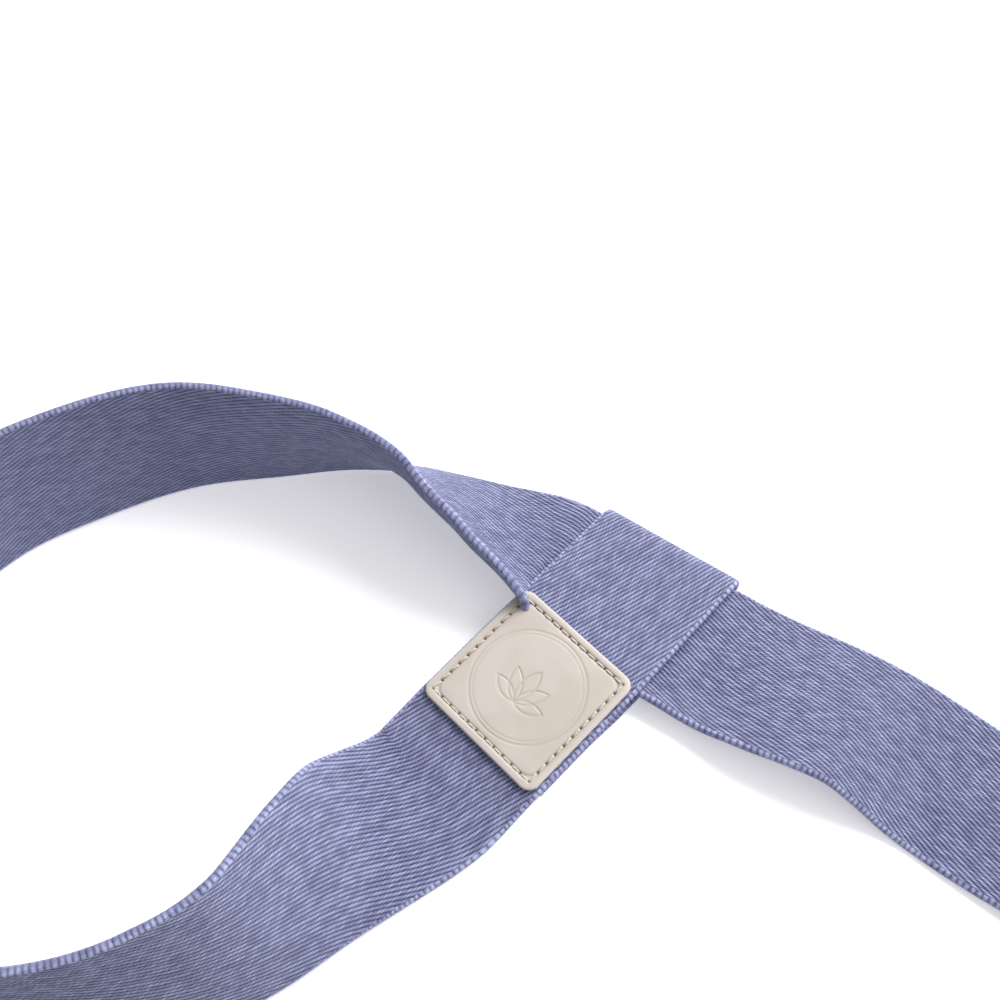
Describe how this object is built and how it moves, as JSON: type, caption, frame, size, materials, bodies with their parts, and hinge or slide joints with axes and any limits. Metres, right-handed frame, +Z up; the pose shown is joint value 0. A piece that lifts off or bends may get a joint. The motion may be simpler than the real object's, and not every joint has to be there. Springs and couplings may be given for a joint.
{
  "type": "stretching strap",
  "caption": "Flat twill webbing strap whose sewn, leather-patched end loop slides on the strap to make a noose, with the spare length rolled up.",
  "frame": {"origin": "on the table, under the middle of the near keeper loop, where the strap runs through it", "axes": "+X along the strap through the keeper, from the noose towards the roll; +Y towards the keeper's fold; +Z up"},
  "size_m": [0.3228, 0.1849, 0.0613],
  "materials": {
    "webbing": "matte cotton twill webbing, lavender blue",
    "leather": "smooth cream leather with a pressed border and motif",
    "thread": "twisted cream sewing thread"
  },
  "bodies": {
    "keeper_end": {"keeper_loop": "webbing", "leather_patch": "leather", "patch_needle_thread": "thread", "patch_bobbin_thread": "thread", "noose_lower_arm": "webbing"},
    "sliding_strap": {"noose_upper_arm": "webbing", "running_strap": "webbing"},
    "tail": {"tail_strap": "webbing"},
    "roll": {"rolled_tail": "webbing", "far_keeper_loop": "webbing", "far_needle_thread": "thread", "far_bobbin_thread": "thread"}
  },
  "joints": [
    {"name": "noose_slide", "type": "slide", "parent": "keeper_end", "child": "sliding_strap", "axis": [1, 0, 0], "range_m": [-0.012, 0]},
    {"name": "tail_fold", "type": "hinge", "parent": "sliding_strap", "child": "tail", "pos_m": [0.06, 0.003, 0.0125], "axis": [0, -1, 0], "range_deg": [0, 75]},
    {"name": "roll_fold", "type": "hinge", "parent": "tail", "child": "roll", "pos_m": [0.125, 0.003, 0.0042], "axis": [0, -1, 0], "range_deg": [0, 70]}
  ]
}
